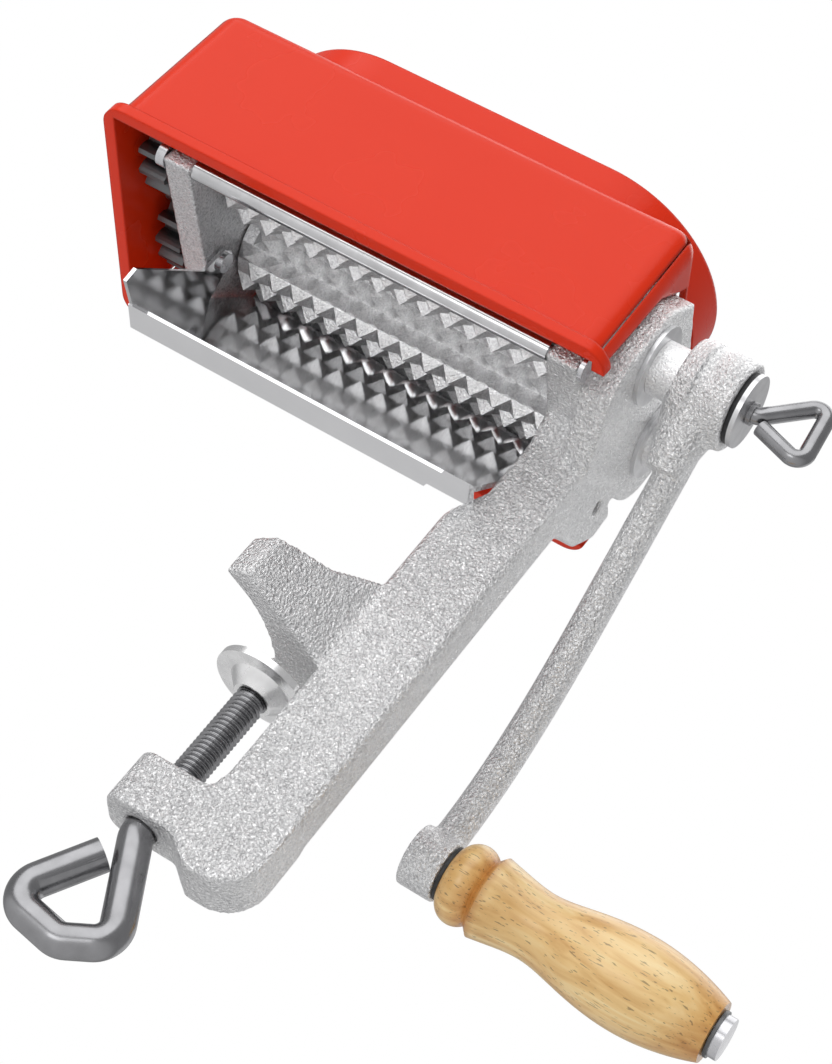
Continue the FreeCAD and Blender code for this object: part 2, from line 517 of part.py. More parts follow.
# ---- hopper cover -------------------------------------------------------------------------
def tapered_block(name, inset, low, high):
    """A block inset from the cover's walls, drawn in towards its top by the draft angle."""
    sketch = outline(name + "_outline", "XY", [
        ("cover_left + " + inset, "cover_front + " + inset), ("cover_right - (%s)" % inset, "cover_front + " + inset),
        ("cover_right - (%s)" % inset, "cover_rear - (%s)" % inset), ("cover_left + " + inset, "cover_rear - (%s)" % inset)])
    obj = doc.addObject("Part::Extrusion", name)
    obj.Base, obj.DirMode, obj.Dir, obj.Solid = sketch, "Custom", FreeCAD.Vector(0, 0, 1), True
    bind(obj, LengthFwd="%s - (%s)" % (high, low), TaperAngle="-cover_draft * 1 deg", Placement__Base__z=low)
    return obj


def obround(name, inset, low, high):
    """A round-ended block inset from the hopper collar."""
    middle = box(name + "_middle", "collar_left + collar_radius", "collar_front + " + inset, low,
                 "collar_right - collar_left - 2 * collar_radius",
                 "collar_rear - collar_front - 2 * (%s)" % inset, "%s - (%s)" % (high, low))
    ends = [rod(name + "_left", "collar_left + collar_radius", "collar_mid", low, "collar_radius - (%s)" % inset,
                "%s - (%s)" % (high, low), axis="z"),
            rod(name + "_right", "collar_right - collar_radius", "collar_mid", low, "collar_radius - (%s)" % inset,
                "%s - (%s)" % (high, low), axis="z")]
    return fuse(name, middle, *ends)


corners = rounded("cover_corners", tapered_block("cover_outer", "0", "cover_low", "cover_top"), "cover_corner",
                  upright)
block = rounded("cover_block", corners, "cover_edge", lambda edge: edge.BoundBox.ZMin > size("cover_top") - 0.01)
rim = rounded("rim_block", box("rim_band", "cover_left - rim_out", "cover_front - rim_out", "cover_low",
                               "cover_right - cover_left + 2 * rim_out", "cover_rear - cover_front + 2 * rim_out",
                               "rim_height"), "cover_corner", upright)
collar = obround("collar_outer", "0", "cover_top - 3", "cover_top + collar_height")
hollow = tapered_block("cover_hollow", "cover_wall", "cover_low - 0.01", "cover_top - cover_wall")
mouth = obround("collar_inner", "cover_wall", "cover_top - 4", "cover_top + collar_height + 1")
notch = extrude("cover_notch", "YZ", [
    ("plate_front + 1.2", "cover_low - 1"), ("drive_y - 12.4 - notch_margin", "drive_z + 8"),
    ("drive_y - 5 - notch_margin", "drive_z + 18 + notch_margin"),
    ("drive_y - 4", "idle_z + pad_arc_radius + notch_margin"),
    ("plate_rear - 2", "idle_z + pad_arc_radius + notch_margin"),
    ("plate_rear + notch_margin", "idle_z + pad_arc_radius - 3"), ("plate_rear + notch_margin", "cover_low - 1")],
    "near_plate_outer + 0.8", "12")
node(cut("hopper_cover_solid", fuse("cover_shell", block, rim, collar), hollow, mouth, notch), "hopper_cover")


# ---- bent wire, crank and handle -------------------------------------------------------------
def bent_wire(points, bend, radius):
    """A round wire through corner points in an XZ plane, each corner rounded by a bend."""
    edges, last = [], points[0]
    for before, corner, after in zip(points, points[1:], points[2:]):
        into, away = (corner - before).normalize(), (after - corner).normalize()
        half = into.getAngle(away) / 2
        reach = bend * math.tan(half)
        start, stop = corner - into * reach, corner + away * reach
        inward = (away - into).normalize()
        middle = corner + inward * (bend / math.cos(half) - bend)
        edges += [Part.LineSegment(last, start).toShape(), Part.Arc(start, middle, stop).toShape()]
        last = stop
    edges.append(Part.LineSegment(last, points[-1]).toShape())
    ring = Part.Wire(Part.makeCircle(radius, points[0], points[1] - points[0]))
    return Part.Wire(edges).makePipeShell([ring], True, False)


def turned(profile):
    """A solid turned about X from a profile wire in the XY plane."""
    return Part.Face(profile).revolve(FreeCAD.Vector(), FreeCAD.Vector(1, 0, 0), 360)


def strap():
    """The crank's bowed arm: an oval section swept from the hub's centre to the knob boss."""
    along = FreeCAD.Vector(0, math.sin(math.radians(size("crank_angle"))), -math.cos(math.radians(size("crank_angle"))))
    aside = FreeCAD.Vector(0, -along.z, along.y)
    points = []
    for share, bow in ((0, 0), (0.24, 0.42), (0.42, 0.74), (0.62, 1.0), (0.82, 0.85), (1, 0)):
        points.append(along * (share * size("crank_radius")) + aside * (bow * size("crank_bow"))
                      + FreeCAD.Vector(-3.0 * share, 0, 0))
    curve = Part.BSplineCurve()
    curve.interpolate(points)
    start = curve.tangent(curve.FirstParameter)[0]
    oval = Part.Ellipse(FreeCAD.Vector(), size("strap_half_width"), size("strap_half_thick"))
    ring = Part.Wire(oval.toShape())
    across = start.cross(FreeCAD.Vector(1, 0, 0))
    ring.Placement = FreeCAD.Placement(points[0], FreeCAD.Rotation(across, FreeCAD.Vector(1, 0, 0), start, "ZXY"))
    return Part.Wire(curve.toShape()).makePipeShell([ring], True, False)


crank_strap = bind(own_shape("crank_strap", strap()), Placement__Base__x="strap_start",
                   Placement__Base__y="drive_y", Placement__Base__z="drive_z")
hub = rod("hub", "hub_start", "drive_y", "drive_z", "hub_radius", "hub_length")
knob_boss = rod("knob_boss", "boss_start", "handle_y", "handle_z", "knob_boss_radius", "knob_boss_length")
square_hole = box("square_hole", "hub_start + 0.8", "drive_y - square_side / 2 - running_clearance",
                  "drive_z - square_side / 2 - running_clearance", "hub_length",
                  "square_side + 2 * running_clearance", "square_side + 2 * running_clearance")
shaft_socket = rod("shaft_socket", "hub_start - 6", "drive_y", "drive_z", "shaft_radius + running_clearance", "7.1")
recess = rod("hub_recess_cut", "hub_end - hub_recess", "drive_y", "drive_z", "disc_radius + 0.4", "5")
bolt_tap = rod("bolt_tap", "boss_start + 1.5", "handle_y", "handle_z", "bolt_radius + running_clearance",
               "knob_boss_length + 5")
node(cut("crank_solid", fuse("crank_fused", hub, knob_boss, crank_strap), square_hole, shaft_socket, recess,
         bolt_tap), "crank_arm")


def ring_piece(label, start, y, z, outer, inner, thick):
    """A flat washer or disc on an X axis."""
    ring = rod(label + "_ring", start, y, z, outer, thick)
    hole = rod(label + "_hole", start + " - 1", y, z, inner, thick + " + 2")
    return node(cut(label + "_cut", ring, hole), label)


loose = "thumb_radius + running_clearance"
ring_piece("hub_washer", "hub_end - hub_recess + spin_clearance", "drive_y", "drive_z", "hub_washer_radius", "thumb_radius + 0.4",
           "hub_washer_thick - spin_clearance")
ring_piece("hub_disc", "disc_start", "drive_y", "drive_z", "disc_radius", loose, "disc_thick")
loop = bent_wire([FreeCAD.Vector(-0.5, 0, 0), FreeCAD.Vector(1.6, 0, 0),
                  FreeCAD.Vector(size("loop_reach") - 2.1, 0, size("loop_rise")),
                  FreeCAD.Vector(size("loop_reach"), 0, -size("loop_drop")),
                  FreeCAD.Vector(3.6, 0, -2.6)], size("loop_bend") / 1.4, size("thumb_wire"))
thumb_loop = bind(own_shape("thumb_loop", loop), Placement__Base__x="disc_end + spin_clearance + 0.5",
                  Placement__Base__y="drive_y", Placement__Base__z="drive_z")
thumb_shank = rod("thumb_shank", "disc_end - thumb_length + 1", "drive_y", "drive_z", "thumb_radius",
                  "thumb_length - 1 + spin_clearance")
thumb_collar = rod("thumb_collar", "disc_end + spin_clearance", "drive_y", "drive_z", "thumb_radius + 0.4", "1")
node(fuse("thumb_screw_solid", thumb_shank, thumb_collar, thumb_loop), "thumb_screw")

ring_piece("handle_washer", "boss_end", "handle_y", "handle_z", "handle_washer_radius", "bolt_radius + running_clearance",
           "handle_washer_thick")


def grip():
    """A turned wooden grip: bead, groove, waisted neck and full end, bored for its bolt."""
    length, full = size("grip_length"), size("grip_max_radius")
    neck, bead = size("grip_neck_radius"), size("bead_radius")
    bore = size("bolt_radius") + size("running_clearance")
    vector = FreeCAD.Vector
    curve = Part.BSplineCurve()
    curve.interpolate([vector(x * length, r, 0) for x, r in (
        (0.145, bead + 0.2), (0.22, (bead + neck) / 2 + 0.1), (0.335, neck), (0.47, (full + neck) / 2 - 0.2),
        (0.6, full - 0.35), (0.72, full), (0.86, full - 1.2), (1.0, full - 4.1))])
    edges = [Part.LineSegment(vector(0, bore, 0), vector(0, bead - 2.6, 0)).toShape(),
             Part.Arc(vector(0, bead - 2.6, 0), vector(0.058 * length, bead, 0), vector(0.118 * length, bead - 1.8, 0)).toShape(),
             Part.LineSegment(vector(0.118 * length, bead - 1.8, 0), vector(0.145 * length, bead + 0.2, 0)).toShape(),
             curve.toShape(),
             Part.LineSegment(vector(length, full - 4.1, 0), vector(length, bore, 0)).toShape(),
             Part.LineSegment(vector(length, bore, 0), vector(0, bore, 0)).toShape()]
    return turned(Part.Wire(edges))


node(bind(own_shape("grip", grip()), Placement__Base__x="grip_start", Placement__Base__y="handle_y",
          Placement__Base__z="handle_z"), "handle_grip")
ring_piece("end_washer", "grip_end + spin_clearance", "handle_y", "handle_z", "end_washer_radius",
           "bolt_radius + running_clearance", "0.8")
bolt_shank = rod("bolt_shank", "boss_start + 2", "handle_y", "handle_z", "bolt_radius",
                 "grip_end + spin_clearance + 1 - boss_start - 2")
bolt_head = rod("bolt_head", "grip_end + spin_clearance + 0.8", "handle_y", "handle_z", "bolt_head_radius",
                "bolt_head_height")
node(fuse("handle_bolt_solid", bolt_shank, bolt_head), "handle_bolt")

# ---- clamp screw and pressure pad -----------------------------------------------------------
eye = own_shape("clamp_eye", bent_wire(
    [FreeCAD.Vector(0, 0, size("eye_top") + 4), FreeCAD.Vector(0, 0, size("eye_top")),
     FreeCAD.Vector(size("eye_right"), 0, size("eye_right_z")), FreeCAD.Vector(2, 0, size("eye_low_z")),
     FreeCAD.Vector(size("eye_left"), 0, size("eye_left_z")),
     FreeCAD.Vector(size("eye_end"), 0, size("eye_end_z"))], size("eye_bend"), size("clamp_screw_radius")))
stem = rod("clamp_stem", "0", "0", "eye_top + 3", "clamp_screw_radius", "screw_top - spin_clearance - eye_top - 3",
           axis="z")
pin = rod("clamp_pin", "0", "0", "screw_top - 1", "pin_radius", "4.5", axis="z")
node(fuse("clamp_screw_solid", stem, pin, eye), "clamp_screw")
pressure_disc = rod("pressure_disc", "0", "0", "pressure_face - pressure_thick", "pressure_radius", "pressure_thick",
                    axis="z")
pressure_hub = cone("pressure_hub", "0", "0", "screw_top", "cone_tip_radius", "cone_radius", "pressure_cone", axis="z")
pin_hole = rod("pin_hole", "0", "0", "screw_top - 1", "pin_radius + running_clearance", "4.8", axis="z")
node(cut("pressure_solid", fuse("pressure_fused", pressure_disc, pressure_hub), pin_hole), "pressure_pad")

# ---- check and write ------------------------------------------------------------------------
doc.recompute()
bad = [o.Name for o in doc.Objects if any(word in o.State for word in ("Invalid", "Error"))]
if bad:
    raise RuntimeError("not rebuilt: " + ", ".join(bad))
os.makedirs("parts", exist_ok=True)
for piece in NODES:
    shape = piece.Shape
    if shape.isNull() or not shape.isValid():
        raise RuntimeError("broken shape: " + piece.Label)
    if len(shape.Solids) != (len(piece.Links) if piece.TypeId == "Part::Compound" else 1):
        raise RuntimeError("%s has %d solids" % (piece.Label, len(shape.Solids)))
    shape.exportStep("parts/%s.step" % piece.Label)
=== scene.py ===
import math

import bmesh
import bpy
from mathutils import Matrix, Vector


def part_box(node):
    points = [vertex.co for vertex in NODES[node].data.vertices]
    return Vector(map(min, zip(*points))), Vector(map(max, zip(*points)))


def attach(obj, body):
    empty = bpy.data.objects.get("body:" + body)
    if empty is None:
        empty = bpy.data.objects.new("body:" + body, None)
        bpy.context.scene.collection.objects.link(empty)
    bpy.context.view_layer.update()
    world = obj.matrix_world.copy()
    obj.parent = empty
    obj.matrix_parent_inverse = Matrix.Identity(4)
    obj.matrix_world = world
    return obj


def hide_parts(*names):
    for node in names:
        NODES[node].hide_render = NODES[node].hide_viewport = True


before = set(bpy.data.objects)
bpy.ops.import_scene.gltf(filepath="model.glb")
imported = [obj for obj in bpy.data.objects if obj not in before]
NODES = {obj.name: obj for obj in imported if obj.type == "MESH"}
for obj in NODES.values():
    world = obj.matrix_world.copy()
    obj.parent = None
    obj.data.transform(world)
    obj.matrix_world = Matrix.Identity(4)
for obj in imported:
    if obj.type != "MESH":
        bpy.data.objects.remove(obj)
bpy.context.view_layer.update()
MM = 0.001
MERGE = 0.004 * MM
ROUND_SIDES = 48


# The clamp frame. One sand-cast aluminium piece: near side plate, arm, two-pronged upper jaw
# and lower jaw. It is shot-blasted, so it has soft edges and a coarse sparkling grain.
def merged_copy(node):
    """A copy of a finished CAD piece's mesh, with its loose triangles joined up and no material."""
    mesh = NODES[node].data.copy()
    bm = bmesh.new()
    bm.from_mesh(mesh)
    bmesh.ops.remove_doubles(bm, verts=bm.verts, dist=MERGE)
    bm.to_mesh(mesh)
    bm.free()
    mesh.materials.clear()
    return mesh


def piece(name, mesh, body, material, slot, *nodes):
    """Puts a mesh in the scene as one piece that rides on a body and stands for its nodes."""
    obj = bpy.data.objects.new(name, mesh)
    bpy.context.scene.collection.objects.link(obj)
    mesh.materials.append(material)
    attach(obj, body)
    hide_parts(*nodes)
    return obj


def softened(node, voxel, rounds, extra=()):
    """The casting's solid skinned again on one fine grid, then relaxed so its edges go round.
    Extra swellings are (start, end, start radius, end radius) in millimetres."""
    mesh = merged_copy(node)
    bm = bmesh.new()
    bm.from_mesh(mesh)
    for start, end, radius1, radius2 in extra:
        run = Vector(end) - Vector(start)
        heading = run.to_track_quat("Z", "X").to_matrix().to_4x4()
        place = Matrix.Translation((Vector(start) + run / 2) * MM) @ heading
        bmesh.ops.create_cone(bm, cap_ends=True, segments=ROUND_SIDES, radius1=radius1 * MM,
                              radius2=radius2 * MM, depth=run.length * MM, matrix=place)
    bm.to_mesh(mesh)
    bm.free()
    rough = bpy.data.objects.new(node + "_rough", mesh)
    bpy.context.scene.collection.objects.link(rough)
    skin = rough.modifiers.new("skin", "REMESH")
    skin.mode, skin.voxel_size, skin.use_smooth_shade = "VOXEL", voxel * MM, True
    relax = rough.modifiers.new("relax", "SMOOTH")
    relax.factor, relax.iterations = 0.5, rounds
    bpy.context.view_layer.update()
    graph = bpy.context.evaluated_depsgraph_get()
    done = bpy.data.meshes.new_from_object(rough.evaluated_get(graph))
    bpy.data.objects.remove(rough)
    done.shade_smooth()
    return done


def group_with(name, inputs, outputs):
    """A shader node group with number sockets, and its input and output nodes."""
    group = bpy.data.node_groups.new(name, "ShaderNodeTree")
    for label, default in inputs:
        socket = group.interface.new_socket(label, in_out="INPUT", socket_type="NodeSocketFloat")
        socket.default_value = default
    for label in outputs:
        group.interface.new_socket(label, in_out="OUTPUT", socket_type="NodeSocketFloat")
    return group, group.nodes.new("NodeGroupInput"), group.nodes.new("NodeGroupOutput")


def noise(nodes, **inputs):
    """A noise texture with the named inputs set."""
    texture = nodes.new("ShaderNodeTexNoise")
    for label, value in inputs.items():
        texture.inputs[label].default_value = value
    return texture


def cast_grain_group():
    """Grain of a blasted casting: a fine crushed grain over slow swells, as height and tone."""
    group, given, out = group_with("cast grain", [("Grain", 1100.0), ("Swell", 160.0)],
                                   ("Height", "Tone"))
    link = group.links.new
    place = group.nodes.new("ShaderNodeTexCoord")
    fine = noise(group.nodes, Detail=3.0, Roughness=0.62, Distortion=0.6)
    cells = group.nodes.new("ShaderNodeTexVoronoi")
    cells.feature, cells.inputs["Randomness"].default_value = "SMOOTH_F1", 1.0
    swell = noise(group.nodes, Detail=2.0)
    for texture, size in ((fine, "Grain"), (cells, "Grain"), (swell, "Swell")):
        link(place.outputs["Object"], texture.inputs["Vector"])
        link(given.outputs[size], texture.inputs["Scale"])
    height = fine.outputs["Fac"]
    for layer, share in ((cells.outputs["Distance"], -0.55), (swell.outputs["Fac"], 1.2)):
        total = group.nodes.new("ShaderNodeMath")
        total.operation = "MULTIPLY_ADD"
        link(layer, total.inputs[0])
        total.inputs[1].default_value = share
        link(height, total.inputs[2])
        height = total.outputs[0]
    link(height, out.inputs["Height"])
    link(fine.outputs["Fac"], out.inputs["Tone"])
    return group


CAST_GRAIN = cast_grain_group()


def new_material(name):
    """A material, its nodes, a short way to link them, and its main shader."""
    mat = bpy.data.materials.new(name)
    mat.use_nodes = True
    shader = mat.node_tree.nodes["Principled BSDF"]
    return mat, mat.node_tree.nodes, mat.node_tree.links.new, shader


def ramp(nodes, link, mask, stops):
    """The colour that a mask picks from stops given as (place, colour)."""
    node = nodes.new("ShaderNodeValToRGB")
    bands = node.color_ramp.elements
    while len(bands) < len(stops):
        bands.new(0.5)
    for band, (place, colour) in zip(bands, stops):
        band.position, band.color = place, (*colour, 1.0)
    link(mask, node.inputs["Fac"])
    return node.outputs["Color"]


def spread(nodes, link, mask, low, high):
    """A mask from 0 to 1 turned into a value from low to high."""
    node = nodes.new("ShaderNodeMapRange")
    node.inputs["To Min"].default_value, node.inputs["To Max"].default_value = low, high
    link(mask, node.inputs["Value"])
    return node.outputs["Result"]


def raised(nodes, link, shader, height, depth):
    """Stands a height up as bumps on the shader, its depth in millimetres."""
    bump = nodes.new("ShaderNodeBump")
    bump.inputs["Distance"].default_value = depth * MM
    link(height, bump.inputs["Height"])
    link(bump.outputs["Normal"], shader.inputs["Normal"])
    return bump


def cast_metal(name, dark, light, grain, depth, rough):
    """Blasted cast aluminium: tone and polish vary with the grain, which also stands up."""
    mat, nodes, link, shader = new_material(name)
    grit = nodes.new("ShaderNodeGroup")
    grit.node_tree = CAST_GRAIN
    grit.inputs["Grain"].default_value = grain
    tone = grit.outputs["Tone"]
    link(ramp(nodes, link, tone, [(0.3, dark), (0.62, light)]), shader.inputs["Base Color"])
    link(spread(nodes, link, tone, rough + 0.12, rough - 0.08), shader.inputs["Roughness"])
    raised(nodes, link, shader, grit.outputs["Height"], depth)
    shader.inputs["Metallic"].default_value = 1.0
    return mat


coarse_cast = cast_metal("coarse cast aluminium", (0.56, 0.56, 0.57), (1.0, 1.0, 1.0),
                         grain=1500.0, depth=0.75, rough=0.27)
piece("clamp_casting", softened("clamp_frame", voxel=0.8, rounds=5),
      "frame", coarse_cast, "cast_aluminium", "clamp_frame")

# The far plate. A smaller casting of the same aluminium with two bearing bosses. Its grain is
# finer and its edges are sharper than the frame's.
fine_cast = cast_metal("fine cast aluminium", (0.46, 0.46, 0.47), (0.94, 0.94, 0.95),
                       grain=1700.0, depth=0.45, rough=0.28)
piece("far_casting", softened("far_plate", voxel=0.5, rounds=4),
      "frame", fine_cast, "cast_aluminium", "far_plate")


# Bushes, retaining disc, clips and screws. Small turned or stamped parts of aluminium and
# steel with a satin shine, pressed, clipped or screwed in place.
def finish_node(node, material):
    """Gives a CAD piece its material."""
    obj = NODES[node]
    obj.data.materials.clear()
    obj.data.materials.append(material)


def metal_wear_group():
    """Wear of smooth metal: soft clouds, and a fine unevenness as a height."""
    group, given, out = group_with("metal wear", [("Fineness", 900.0)], ("Wear", "Height"))
    link = group.links.new
    place = group.nodes.new("ShaderNodeTexCoord")
    wear = noise(group.nodes, Scale=220.0, Detail=4.0)
    fine = noise(group.nodes, Detail=2.0)
    link(given.outputs["Fineness"], fine.inputs["Scale"])
    for texture, label in ((wear, "Wear"), (fine, "Height")):
        link(place.outputs["Object"], texture.inputs["Vector"])
        link(texture.outputs["Fac"], out.inputs[label])
    return group


METAL_WEAR = metal_wear_group()


def smooth_metal(name, colour, rough, fineness, depth):
    """Smooth metal: cloudy wear in its tone and polish over a fine unevenness."""
    mat, nodes, link, shader = new_material(name)
    worn = nodes.new("ShaderNodeGroup")
    worn.node_tree = METAL_WEAR
    worn.inputs["Fineness"].default_value = fineness
    wear = worn.outputs["Wear"]
    dull = tuple(c * 0.8 for c in colour)
    link(ramp(nodes, link, wear, [(0.25, dull), (0.7, colour)]), shader.inputs["Base Color"])
    link(spread(nodes, link, wear, rough * 1.3, rough * 0.8), shader.inputs["Roughness"])
    raised(nodes, link, shader, worn.outputs["Height"], depth)
    shader.inputs["Metallic"].default_value = 1.0
    return mat


turned_aluminium = smooth_metal("turned aluminium", (0.74, 0.74, 0.75),
                                rough=0.30, fineness=900.0, depth=0.02)
for node in ("drive_near_bush", "drive_far_bush", "idle_near_bush", "idle_far_bush", "hub_disc"):
    finish_node(node, turned_aluminium)
screw_steel = smooth_metal("screw steel", (0.66, 0.66, 0.68),
                           rough=0.26, fineness=700.0, depth=0.01)
for node in ("tie_rod_screws", "tray_rivets", "drive_gear_clip", "idle_gear_clip", "handle_bolt"):
    finish_node(node, screw_steel)

# Tie rods. Polished round steel bars that hold the two plates apart, each fixed by a screw at
# both ends.
polished_rod = smooth_metal("polished tie rod", (0.66, 0.66, 0.67),
                            rough=0.16, fineness=300.0, depth=0.004)
for node in ("front_tie_rod", "rear_tie_rod"):
    finish_node(node, polished_rod)

# Pressure pad. A zinc-plated steel disc with a cone behind it, swaged on the end of the clamp
# screw.
zinc_plate = smooth_metal("zinc plated steel", (1.0, 1.0, 1.0),
                          rough=0.26, fineness=500.0, depth=0.006)
finish_node("pressure_pad", zinc_plate)

# Rollers. Cast aluminium with rows of sharp pyramids, a finer grain than the frame. They turn
# in bushes in the two plates.
# The tone that varies with the grain is the metal's own, but the whole colour is painted lighter
# than the frame's aluminium. This is painted light that makes up for the light the cover keeps off
# the rollers.
roller_cast_painted_lighter = cast_metal("roller cast aluminium painted lighter", (0.70, 0.70, 0.71), (1.0, 1.0, 1.0),
                         grain=2000.0, depth=0.22, rough=0.30)
for node in ("drive_roller", "idle_roller"):
    finish_node(node, roller_cast_painted_lighter)

# Gears and the handle's end washer. Dark grey steel, a little uneven in tone. The gears sit on
# the far ends of the roller shafts.
gear_steel = smooth_metal("dark gear steel", (0.16, 0.165, 0.17),
                          rough=0.38, fineness=1200.0, depth=0.03)
for node in ("drive_gear", "idle_gear", "end_washer"):
    finish_node(node, gear_steel)


# Crumb tray. One bent sheet of mirror-polished stainless steel with upright end walls,
# riveted between the plates.
def mirror_sheet():
    """Mirror-polished sheet with a little uneven haze."""
    mat, nodes, link, shader = new_material("mirror sheet")
    place = nodes.new("ShaderNodeTexCoord")
    haze = noise(nodes, Scale=60.0, Detail=5.0)
    link(place.outputs["Object"], haze.inputs["Vector"])
    mask = haze.outputs["Fac"]
    link(spread(nodes, link, mask, 0.05, 0.13), shader.inputs["Roughness"])
    tone = ramp(nodes, link, mask, [(0.2, (0.74, 0.74, 0.75)), (0.8, (0.82, 0.82, 0.83))])
    link(tone, shader.inputs["Base Color"])
    shader.inputs["Metallic"].default_value = 1.0
    return mat


finish_node("crumb_tray", mirror_sheet())


# Hopper cover. Injection-moulded glossy red plastic with rounded edges and an outward lip. It
# drops over the two plates and lifts off.
def red_plastic():
    """Glossy red moulding: a faint mottle in the colour and a slight orange-peel surface."""
    mat, nodes, link, shader = new_material("red gloss plastic")
    place = nodes.new("ShaderNodeTexCoord")
    mottle = noise(nodes, Scale=35.0, Detail=3.0)
    peel = noise(nodes, Scale=420.0)
    for texture in (mottle, peel):
        link(place.outputs["Object"], texture.inputs["Vector"])
    mask = mottle.outputs["Fac"]
    tone = ramp(nodes, link, mask, [(0.2, (0.725, 0.029, 0.004)), (0.8, (0.74, 0.031, 0.005))])
    link(tone, shader.inputs["Base Color"])
    link(spread(nodes, link, mask, 0.24, 0.30), shader.inputs["Roughness"])
    rounded = nodes.new("ShaderNodeBevel")
    rounded.samples, rounded.inputs["Radius"].default_value = 8, 1.0 * MM
    bump = raised(nodes, link, shader, peel.outputs["Fac"], 0.006)
    link(rounded.outputs["Normal"], bump.inputs["Normal"])
    shader.inputs["Specular IOR Level"].default_value = 0.20
    return mat


finish_node("hopper_cover", red_plastic())

# Crank. An aluminium casting: a hub with a waist, a bowed oval arm that grows out of it with a
# broad root, and a knob boss. It is blasted, so the skin is rough.
HUB_Y, HUB_Z = -20.6, 108.6
hub_swells = [((start, HUB_Y, HUB_Z), (end, HUB_Y, HUB_Z), radius1, radius2)
              for start, end, radius1, radius2 in ((40.2, 44.6, 11.2, 11.9),
                                                   (46.6, 50.5, 11.2, 12.1),
                                                   (50.5, 54.6, 12.1, 11.6))]
arm_root = ((46.0, -19.2, 104.0), (46.2, -10.4, 88.8), 8.6, 4.6)
crank_skin = softened("crank_arm", voxel=0.45, rounds=5, extra=(*hub_swells, arm_root))
piece("crank_casting", crank_skin, "crank", coarse_cast, "cast_aluminium", "crank_arm")


# Washers. Black rubber, dull, with fine pores. One lies behind the disc on the crank's hub and
# one between the crank and the handle.
def black_rubber():
    """Dull black rubber with a fine pored surface."""
    mat, nodes, link, shader = new_material("black rubber")
    place = nodes.new("ShaderNodeTexCoord")
    pores = noise(nodes, Scale=900.0, Detail=3.0)
    link(place.outputs["Object"], pores.inputs["Vector"])
    mask = pores.outputs["Fac"]
    tone = ramp(nodes, link, mask, [(0.3, (0.008, 0.008, 0.009)), (0.8, (0.03, 0.03, 0.032))])
    link(tone, shader.inputs["Base Color"])
    raised(nodes, link, shader, mask, 0.03)
    shader.inputs["Roughness"].default_value = 0.45
    return mat


rubber = black_rubber()
for node in ("hub_washer", "handle_washer"):
    finish_node(node, rubber)

# Thumb screw. Bent bright steel wire that screws into the drive shaft and holds the crank on.
bright_steel = smooth_metal("bright bent steel", (0.33, 0.33, 0.34),
                            rough=0.24, fineness=300.0, depth=0.004)
finish_node("thumb_screw", bright_steel)


# Handle. Turned beech with a bead and a groove at the crank end, under clear varnish. It spins
# on the handle bolt.
def varnished_wood():
    """Honey wood: long grain along the handle, dark pores in dashes, browner in the groove and
    at the ends."""
    mat, nodes, link, shader = new_material("varnished wood")
    place = nodes.new("ShaderNodeTexCoord")

    def grain(along, across, **inputs):
        """A noise mask drawn out along the handle."""
        stretch = nodes.new("ShaderNodeMapping")
        stretch.inputs["Scale"].default_value = (along, across, across)
        link(place.outputs["Object"], stretch.inputs["Vector"])
        texture = noise(nodes, Scale=1.0, **inputs)
        link(stretch.outputs["Vector"], texture.inputs["Vector"])
        return texture.outputs["Fac"]

    def stained(colour, stain, factor):
        """One colour multiplied by another."""
        mix = nodes.new("ShaderNodeMix")
        mix.data_type, mix.blend_type = "RGBA", "MULTIPLY"
        mix.inputs["Factor"].default_value = factor
        link(colour, mix.inputs["A"])
        link(stain, mix.inputs["B"])
        return mix.outputs["Result"]

    streak = grain(28.0, 330.0, Detail=5.0, Distortion=0.7)
    blotch = grain(35.0, 60.0, Detail=2.0)
    pores = grain(330.0, 2300.0, Detail=1.0)
    honey = ramp(nodes, link, streak, [(0.28, (0.64, 0.36, 0.11)), (0.5, (0.84, 0.58, 0.25)),
                                       (0.75, (0.93, 0.74, 0.40))])
    shade = ramp(nodes, link, blotch, [(0.3, (0.80, 0.66, 0.48)), (0.6, (1.0, 1.0, 1.0))])
    dash = ramp(nodes, link, pores, [(0.30, (0.35, 0.35, 0.35)), (0.36, (1.0, 1.0, 1.0))])
    split = nodes.new("ShaderNodeSeparateXYZ")
    link(place.outputs["Object"], split.inputs["Vector"])
    grip_start, grip_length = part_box("handle_grip")[0].x, 70 * MM
    reach = nodes.new("ShaderNodeMapRange")
    reach.inputs["From Min"].default_value = grip_start
    reach.inputs["From Max"].default_value = grip_start + grip_length
    link(split.outputs["X"], reach.inputs["Value"])
    # Browner bands set by position along the handle: a little at the crank end, most in the groove,
    # and again towards the far end.
    groove_and_end_tint = ramp(nodes, link, reach.outputs["Result"],
                [(0.0, (0.9, 0.8, 0.66)), (0.06, (1.0, 0.96, 0.9)), (0.105, (0.9, 0.72, 0.5)),
                 (0.13, (0.62, 0.36, 0.16)), (0.17, (1.0, 1.0, 1.0)), (0.85, (1.0, 0.98, 0.95)),
                 (1.0, (0.82, 0.64, 0.42))])
    wood = stained(stained(stained(honey, shade, 0.75), dash, 0.8), groove_and_end_tint, 1.0)
    link(wood, shader.inputs["Base Color"])
    raised(nodes, link, shader, streak, 0.05)
    shader.inputs["Roughness"].default_value = 0.38
    shader.inputs["Coat Weight"].default_value = 0.5
    shader.inputs["Coat Roughness"].default_value = 0.18
    return mat


finish_node("handle_grip", varnished_wood())


